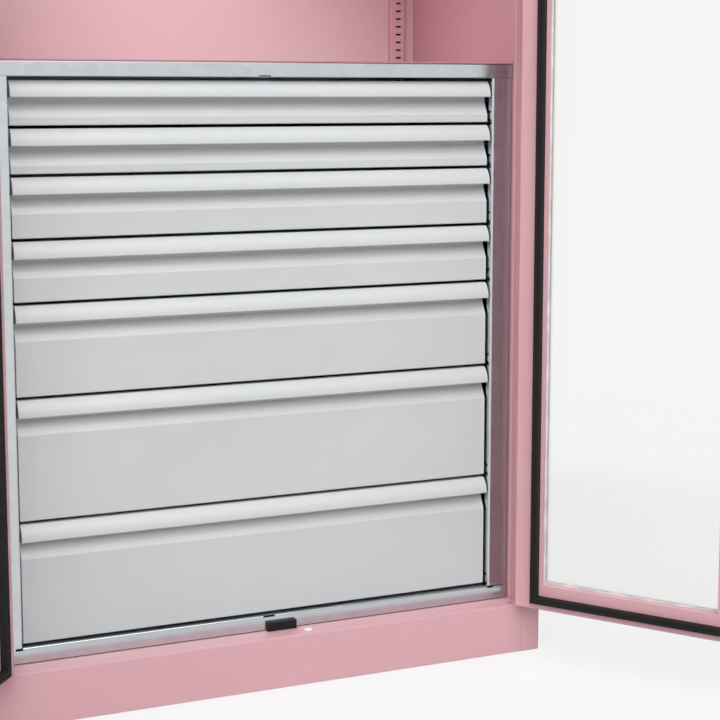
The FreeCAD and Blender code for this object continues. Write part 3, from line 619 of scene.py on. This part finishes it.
@dataclass
class Door:
    """A hinged door with its pane, its glazing profile and its rubber seal.

    Lengths are metres in the closed door: x from the middle of the cabinet towards the hinge,
    y behind the front plane of the drawer housing, z above the floor.
    """

    side: Side
    pivot: tuple[float, float] = (0.4615, -0.0415)
    open_degrees: float = 127.0
    edge_x: tuple[float, float] = (0.001, 0.461)
    edge_z: tuple[float, float] = (0.093, 1.905)
    inner_y: float = -0.013
    seal_inset: tuple[float, float] = (0.013, 0.033)
    seal_size: tuple[float, float] = (0.0125, 0.0125)
    lock_stile: float = 0.095
    hinge_stile: float = 0.049
    rail: float = 0.045
    gasket_y: tuple[float, float] = (-0.032, -0.024)
    gasket_size: tuple[float, float] = (0.0035, 0.002)
    gasket_wall: float = 0.001

    def placed(self, points: np.ndarray) -> np.ndarray:
        """Turns points of the closed right door to the open rest place and to this side."""
        turn = math.radians(self.open_degrees)
        flat = points[:, :2] - self.pivot
        x = flat[:, 0] * math.cos(turn) - flat[:, 1] * math.sin(turn) + self.pivot[0]
        y = flat[:, 0] * math.sin(turn) + flat[:, 1] * math.cos(turn) + self.pivot[1]
        return np.column_stack([x * self.side.value, y, points[:, 2]])

    def ring(self, name: str, outline: np.ndarray, x: tuple[float, float],
             z: tuple[float, float], finish: Finish) -> bpy.types.Object:
        """A profile carried round a rectangle with mitred corners.

        A point (a, y) of the outline becomes the rectangle inset by a at the depth y, so the
        grid is the outline by the four corners.

        Args:
            name: The piece's name.
            outline: Closed profile (n, 2) as inset and depth.
            x: The rectangle's ends across the door.
            z: Its ends in height.
            finish: The profile's finish.

        Returns:
            The new piece.
        """
        inset = outline[:, 0][:, None]
        xs = np.array([x[0], x[1], x[1], x[0]])[None, :] + inset * [[1, -1, -1, 1]]
        zs = np.array([z[0], z[0], z[1], z[1]])[None, :] + inset * [[1, 1, -1, -1]]
        ys = np.broadcast_to(outline[:, 1][:, None], xs.shape)
        points = self.placed(np.stack([xs, ys, zs], axis=-1).reshape(-1, 3))
        faces = grid_faces(len(outline), 4, True, True)
        if self.side is Side.LEFT:
            faces = faces[:, ::-1]
        return make_piece(name, points, faces, finish, f"{self.side.word}_door")

    def seal(self) -> bpy.types.Object:
        """The door seal: a foot, two rounded ridges and a groove between them."""
        wide, high = self.seal_size
        y0 = self.inner_y
        top = y0 + high
        corners = [(0.0, y0), (wide, y0), (wide, top), (0.62 * wide, top),
                   (0.52 * wide, top - 0.12 * high), (0.42 * wide, top), (0.0, top)]
        radii = [0.0002, 0.0002, 0.0016, 0.0009, 0.0006, 0.0009, 0.0016]
        x = (self.edge_x[0] + self.seal_inset[0], self.edge_x[1] - self.seal_inset[1])
        z = (self.edge_z[0] + self.seal_inset[0], self.edge_z[1] - self.seal_inset[0])
        outline = rounded_outline(corners, radii)
        return self.ring(f"seal_profile_{self.side.word}", outline, x, z, BLACK_RUBBER)

    def gasket(self) -> bpy.types.Object:
        """The glazing profile: a U whose two lips are rounded over the edge of the pane."""
        y0, y1 = self.gasket_y
        reach, lip = self.gasket_size
        wall = self.gasket_wall
        corners = [(0.0, y0), (reach, y0), (reach, y0 + lip), (wall, y0 + lip),
                   (wall, y1 - lip), (reach, y1 - lip), (reach, y1), (0.0, y1)]
        radii = [0.0002, 0.0009, 0.0003, 0.0001, 0.0001, 0.0003, 0.0009, 0.0002]
        x = (self.edge_x[0] + self.lock_stile, self.edge_x[1] - self.hinge_stile)
        z = (self.edge_z[0] + self.rail, self.edge_z[1] - self.rail)
        outline = rounded_outline(corners, radii, 5)
        return self.ring(f"glazing_profile_{self.side.word}", outline, x, z, CLEAR_RUBBER)

    def build(self) -> None:
        """Dresses the door's nodes and builds its rubber profiles."""
        word = self.side.word
        dress_nodes(ROSE, f"door_{word}_shell", f"door_{word}_knuckles")
        dress_nodes(SAFETY_GLASS, f"door_{word}_pane")
        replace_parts(self.seal(), f"door_{word}_seal")
        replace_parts(self.gasket(), f"door_{word}_gasket")
        LOG.info("%s door built", word)


@dataclass
class Lock:
    """Turning handle, rosette, cam, rods and the strip that covers the doors' joint.

    Lengths are metres in the closed door, with y measured as in the door.
    """

    door: Door
    axis: tuple[float, float] = (0.0525, 1.0)
    hub_y: tuple[float, float] = (-0.0665, -0.0475)
    hub_radii: tuple[float, float] = (0.0112, 0.0120)
    spindle_radius: float = 0.0045
    spindle_end: float = -0.0313
    grip_half: tuple[float, float, float] = (0.048, 0.0059, 0.0110)
    grip_y: float = -0.0648
    barrel_radius: float = 0.0078
    barrel_y: tuple[float, float] = (-0.0713, -0.0690)
    slot_half: tuple[float, float] = (0.0008, 0.0035)
    slot_depth: float = 0.001
    slot_skin: float = 0.00005

    def at_axis(self, points: np.ndarray) -> np.ndarray:
        """Moves points to the handle's axis and opens them with the door."""
        return self.door.placed(points + [self.axis[0], 0.0, self.axis[1]])

    def grip(self) -> tuple[np.ndarray, list[list[int]]]:
        """The bar of the handle, waisted in the middle and rounded at both ends.

        At the share u of its half length the section is a superellipse. Its height is full near
        u = 0.75, an eighth less at the hub, and falls to nothing in a round end.
        """
        length, deep, high = self.grip_half
        sweep = np.linspace(-0.5 * math.pi, 0.5 * math.pi, 41)[1:-1]
        u = np.sin(sweep)
        end = (1.0 - np.abs(u) ** 5) ** 0.5
        swell = np.sin(np.clip(np.abs(u) / 0.75, 0, 1) * math.pi / 2) ** 2
        tall = high * end * (0.88 + 0.12 * swell)
        thick = deep * end ** 0.7 * (1.0 - 0.16 * u ** 2)
        angle = full_turn(32)
        round_z = np.sign(np.sin(angle)) * np.abs(np.sin(angle)) ** 0.75
        round_y = np.sign(np.cos(angle)) * np.abs(np.cos(angle)) ** 0.75
        rings = np.stack([
            np.broadcast_to((length * u)[:, None], (u.size, angle.size)),
            self.grip_y + thick[:, None] * round_y,
            tall[:, None] * round_z,
        ], axis=-1)
        tip = np.array([length, self.grip_y, 0.0])
        return capped(rings, tip * [-1, 1, 1], tip)

    def handle(self) -> bpy.types.Object:
        """Grip, hub and spindle in one piece."""
        front, back = self.hub_y
        slim, wide = self.hub_radii
        profile = np.array([
            (0.0, front), (slim, front), (slim, front + 0.006), (wide - 0.0003, back - 0.0025),
            (wide, back - 0.0012), (wide - 0.0004, back - 0.0003), (wide - 0.0012, back),
            (self.spindle_radius, back), (self.spindle_radius, self.spindle_end),
            (0.0, self.spindle_end)])
        points, faces = joined(self.grip(), lathe(profile[::-1]))
        return make_piece("turning_grip", self.at_axis(points), faces, BLACK_PLASTIC, "handle")

    def barrel(self) -> None:
        """The lock barrel in the hub with its key slot."""
        front, back = self.barrel_y
        radius = self.barrel_radius
        profile = np.array([
            (0.0, back), (radius, back), (radius, front + 0.0005),
            (radius - 0.0002, front + 0.0001), (radius - 0.0006, front), (0.0, front)])
        points, faces = lathe(profile)
        make_piece("lock_barrel", self.at_axis(points), faces, PLATED, "handle")
        wide, high = self.slot_half
        outline = rounded_outline([(-wide, -high), (wide, -high), (wide, high), (-wide, high)],
                                  [wide * 0.9] * 4, 5)
        deep = front + self.slot_depth
        skin = front - self.slot_skin
        rings = np.stack([np.column_stack([outline[:, 0], np.full(len(outline), y), outline[:, 1]])
                          for y in (deep, skin)])
        points, faces = capped(rings, np.array([0.0, deep, 0.0]), np.array([0.0, skin, 0.0]))
        make_piece("key_slot", self.at_axis(points), faces, BLACK_PLASTIC, "handle")

    def build(self) -> None:
        """Dresses the lock's nodes and builds the handle with its barrel."""
        dress_nodes(ROSE, "meeting_strip")
        dress_nodes(BLACK_PLASTIC, "handle_rosette")
        dress_nodes(PLATED, "lock_cam", "locking_rod_lower", "locking_rod_upper")
        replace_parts(self.handle(), "turn_handle")
        self.barrel()
        LOG.info("lock built")


# ------------------------------------------------------------------ studio
@dataclass(frozen=True)
class SoftBox:
    """A rectangular area lamp aimed at a point."""

    name: str
    place: tuple[float, float, float]
    aim: tuple[float, float, float]
    size: tuple[float, float]
    watts: float
    spread: float = 180.0

    def build(self) -> None:
        """Hangs the lamp."""
        lamp = bpy.data.lights.new(self.name, "AREA")
        lamp.shape = "RECTANGLE"
        lamp.size, lamp.size_y = self.size
        lamp.energy = self.watts
        lamp.spread = math.radians(self.spread)
        holder = bpy.data.objects.new(self.name, lamp)
        place = np.array(self.place)
        ray = np.array(self.aim) - place
        holder.location = self.place
        holder.rotation_euler = (
            math.acos(-ray[2] / np.linalg.norm(ray)),
            0.0,
            math.atan2(ray[1], ray[0]) - math.pi / 2,
        )
        bpy.context.scene.collection.objects.link(holder)


@dataclass
class Studio:
    """Pale floor, white surroundings, soft lamps and the camera.

    The floor lies floor_drop under the cabinet. Where it is seen it glows by the share floor_glow,
    by floor_glow_glass behind a pane, and fully from the second of the floor_white distances on.
    """

    floor_half: float = 14.0
    floor_drop: float = 0.0004
    floor_colour: Colour = (0.66, 0.66, 0.66)
    floor_glow: float = 0.75
    floor_glow_glass: float = 0.93
    floor_white: tuple[float, float] = (0.6, 2.0)
    ambient: float = 0.05
    eye: tuple[float, float, float] = (-0.852193, -2.429314, 0.990140)
    yaw: float = 22.76
    pitch: float = 7.04
    lens: float = 78.489
    sensor: float = 36.0
    shift: float = -0.1
    sight: float = 60.0
    lamps: tuple[SoftBox, ...] = field(default_factory=lambda: (
        SoftBox("front_box", (0.0, -6.6, 5.3), (0.0, 0.0, 0.8), (6.0, 6.0), 285.0),
        SoftBox("left_box", (-3.8, -5.4, 5.3), (0.0, 0.0, 0.8), (6.0, 6.0), 390.0),
        SoftBox("top_box", (0.0, -3.0, 7.2), (0.0, 0.0, 0.8), (5.0, 5.0), 200.0),
        SoftBox("rear_left_box", (-6.0, 3.6, 3.9), (0.0, 0.2, 0.9), (3.9, 3.9), 270.0),
        SoftBox("rear_right_box", (6.2, 3.3, 3.9), (0.0, 0.2, 0.9), (3.9, 3.9), 250.0),
    ))
    shelf_lamp_x: float = -0.05
    shelf_lamp_y: float = 0.035
    shelf_lamp_z: tuple[float, ...] = (1.285, 1.570, 1.875)
    shelf_lamp_aim: tuple[float, float] = (0.414, -0.225)
    shelf_lamp_size: tuple[float, float] = (0.6, 0.04)
    shelf_lamp_watts: float = 0.90
    shelf_lamp_spread: float = 150.0

    def shelf_lamps(self) -> list[SoftBox]:
        """One slim lamp at the front of each compartment, aimed down at the back panel."""
        x = self.shelf_lamp_x
        back, drop = self.shelf_lamp_aim
        return [SoftBox(f"shelf_lamp_{number}", (x, self.shelf_lamp_y, z), (x, back, z + drop),
                        self.shelf_lamp_size, self.shelf_lamp_watts, self.shelf_lamp_spread)
                for number, z in enumerate(self.shelf_lamp_z, 1)]

    def seen_directly(self, sheet: NodeSheet) -> Term:
        """1 for rays from the camera, mirrors and glass, 0 for light on the object."""
        path = sheet.add("ShaderNodeLightPath")
        seen = path["Is Camera Ray"].peak(path["Is Glossy Ray"])
        return seen.peak(path["Is Transmission Ray"])

    def seen_through_glass(self, sheet: NodeSheet) -> Term:
        """1 for rays that have passed a pane."""
        return sheet.add("ShaderNodeLightPath")["Is Transmission Ray"]

    def world(self) -> None:
        """White where it is seen, and a plain grey level where it lights."""
        world = bpy.data.worlds.new("studio")
        world.use_nodes = True
        bpy.context.scene.world = world
        sheet = NodeSheet(world.node_tree)
        white = sheet.add("ShaderNodeBackground", {}, {"Strength": 1.0, "Color": (1, 1, 1, 1)})
        light = sheet.add("ShaderNodeBackground", {},
                          {"Strength": self.ambient, "Color": (1, 1, 1, 1)})
        inputs = {0: self.seen_directly(sheet), 1: light["Background"], 2: white["Background"]}
        both = sheet.add("ShaderNodeMixShader", {}, inputs)["Shader"]
        sheet.add("ShaderNodeOutputWorld", {}, {"Surface": both})

    def floor(self) -> None:
        """A pale floor that turns to plain white a few metres away from the cabinet."""
        half = self.floor_half
        z = -self.floor_drop
        points = [(-half, -half, z), (half, -half, z), (half, half, z), (-half, half, z)]
        mesh = bpy.data.meshes.new("studio_floor")
        mesh.from_pydata(points, [], [(0, 1, 2, 3)])
        made = bpy.data.materials.new("studio_floor")
        made.use_nodes = True
        sheet = NodeSheet(made.node_tree)
        reach = sheet.add("ShaderNodeVectorMath", {"operation": "LENGTH"},
                          {0: sheet.place()})["Value"]
        matt = sheet.add("ShaderNodeBsdfDiffuse", {}, {"Color": (*self.floor_colour, 1.0)})
        glow = sheet.add("ShaderNodeEmission", {}, {"Color": (1, 1, 1, 1), "Strength": 1.0})
        far = reach.ramp(*self.floor_white).peak(self.floor_glow) * self.seen_directly(sheet)
        white = far.peak(self.seen_through_glass(sheet) * self.floor_glow_glass)
        both = sheet.add("ShaderNodeMixShader", {},
                         {0: white, 1: matt["BSDF"], 2: glow["Emission"]})["Shader"]
        sheet.add("ShaderNodeOutputMaterial", {}, {"Surface": both})
        mesh.materials.append(made)
        plane = bpy.data.objects.new("studio_floor", mesh)
        bpy.context.scene.collection.objects.link(plane)

    def camera(self) -> None:
        """The camera, looking a little down and to the right."""
        data = bpy.data.cameras.new("camera")
        data.lens = self.lens
        data.sensor_width = self.sensor
        data.shift_y = self.shift
        data.clip_end = self.sight
        camera = bpy.data.objects.new("camera", data)
        camera.location = self.eye
        camera.rotation_euler = (math.radians(90.0 - self.pitch), 0.0, -math.radians(self.yaw))
        bpy.context.scene.collection.objects.link(camera)
        bpy.context.scene.camera = camera

    def build(self) -> None:
        """Sets up the studio."""
        bpy.context.scene.view_settings.view_transform = "Standard"
        self.world()
        self.floor()
        lamps = [*self.lamps, *self.shelf_lamps()]
        for lamp in lamps:
            lamp.build()
        self.camera()
        LOG.info("studio set with %d lamps", len(lamps))


def main() -> None:
    """Builds the cabinet in order."""
    logging.basicConfig(level=logging.INFO, format="%(name)s: %(message)s")
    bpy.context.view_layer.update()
    Carcass().build()
    DrawerHousing().build()
    for number in DRAWERS:
        Drawer(number).build()
    doors = {side: Door(side) for side in Side}
    for door in doors.values():
        door.build()
    Lock(doors[Side.RIGHT]).build()
    Studio().build()


if __name__ == "__main__":
    main()
